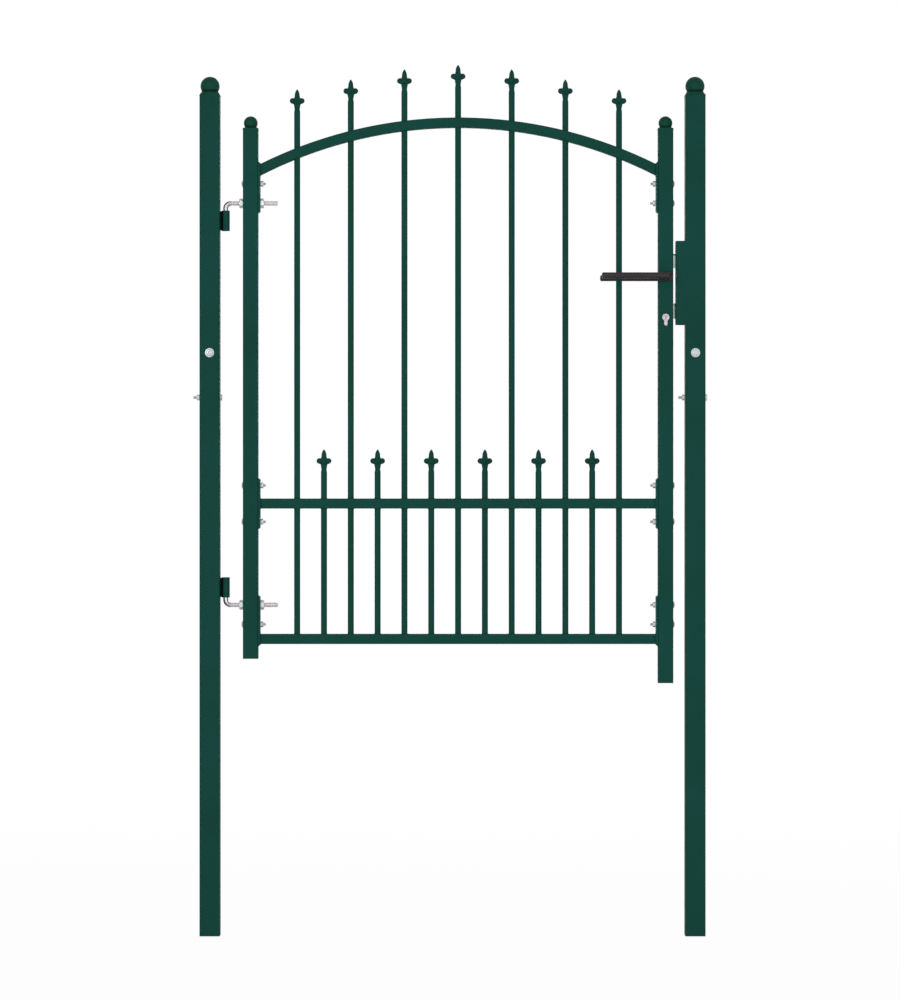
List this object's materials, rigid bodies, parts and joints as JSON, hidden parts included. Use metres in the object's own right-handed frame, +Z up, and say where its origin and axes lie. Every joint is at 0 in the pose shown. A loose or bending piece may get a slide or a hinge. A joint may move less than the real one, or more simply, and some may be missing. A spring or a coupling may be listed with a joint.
{
  "type": "spiked fence gate",
  "caption": "Steel garden gate with an arched top rail, spear-topped round pickets and a lever lock, hung on adjustable bolts between square posts with ball caps.",
  "frame": {"origin": "centre of the hinge post's foot", "axes": "+X from the hinge post to the latch post, +Y to the back, +Z up; the front faces -Y"},
  "size_m": [1.001, 0.115, 1.7234],
  "materials": {
    "green_powder_coat": "satin powder coat",
    "green_cap": "satin",
    "zinc_plate": "zinc plated",
    "charcoal_lever": "satin",
    "lock_steel": "brushed",
    "lock_brass": "nickel plated"
  },
  "bodies": {
    "posts": {"hinge_post": "green_powder_coat", "latch_post": "green_powder_coat", "hinge_post_cap": "green_cap", "latch_post_cap": "green_cap", "upper_hinge_barrel": "green_powder_coat", "lower_hinge_barrel": "green_powder_coat", "strike_box": "green_powder_coat"},
    "leaf": {"hinge_stile": "green_powder_coat", "lock_stile": "green_powder_coat", "hinge_stile_cap": "green_cap", "lock_stile_cap": "green_cap", "arch_rail": "green_powder_coat", "mid_rail": "green_powder_coat", "bottom_rail": "green_powder_coat", "upper_hinge_plate": "green_powder_coat", "upper_lock_plate": "green_powder_coat", "mid_hinge_plate": "green_powder_coat", "mid_lock_plate": "green_powder_coat", "lower_hinge_plate": "green_powder_coat", "lower_lock_plate": "green_powder_coat", "tall_picket_1": "green_powder_coat", "tall_picket_2": "green_powder_coat", "tall_picket_3": "green_powder_coat", "tall_picket_4": "green_powder_coat", "tall_picket_5": "green_powder_coat", "tall_picket_6": "green_powder_coat", "tall_picket_7": "green_powder_coat", "short_picket_1": "green_powder_coat", "short_picket_2": "green_powder_coat", "short_picket_3": "green_powder_coat", "short_picket_4": "green_powder_coat", "short_picket_5": "green_powder_coat", "short_picket_6": "green_powder_coat", "upper_hinge_bolt": "zinc_plate", "lower_hinge_bolt": "zinc_plate", "upper_hinge_nuts": "zinc_plate", "lower_hinge_nuts": "zinc_plate", "lock_case": "lock_steel", "lock_cylinder": "lock_brass", "dead_bolt": "lock_steel"},
    "lever": {"front_lever": "charcoal_lever", "back_lever": "charcoal_lever", "lever_spindle": "lock_steel"},
    "latch": {"latch_bolt": "lock_steel"}
  },
  "joints": [
    {"name": "leaf_swing", "type": "hinge", "parent": "posts", "child": "leaf", "pos_m": [0.031, 0, 1.05], "axis": [0, 0, 1], "range_deg": [0, 90]},
    {"name": "lever_turn", "type": "hinge", "parent": "leaf", "child": "lever", "pos_m": [0.9015, 0, 1.304], "axis": [0, -1, 0], "range_deg": [0, 40], "stiffness_Nm_per_rad": 1, "springref_deg": -28.65},
    {"name": "latch_slide", "type": "slide", "parent": "leaf", "child": "latch", "axis": [-1, 0, 0], "range_m": [0, 0.0141]}
  ],
  "couplings": [
    {"joint": "latch_slide", "follows": "lever_turn", "m_per_rad": 0.02}
  ]
}
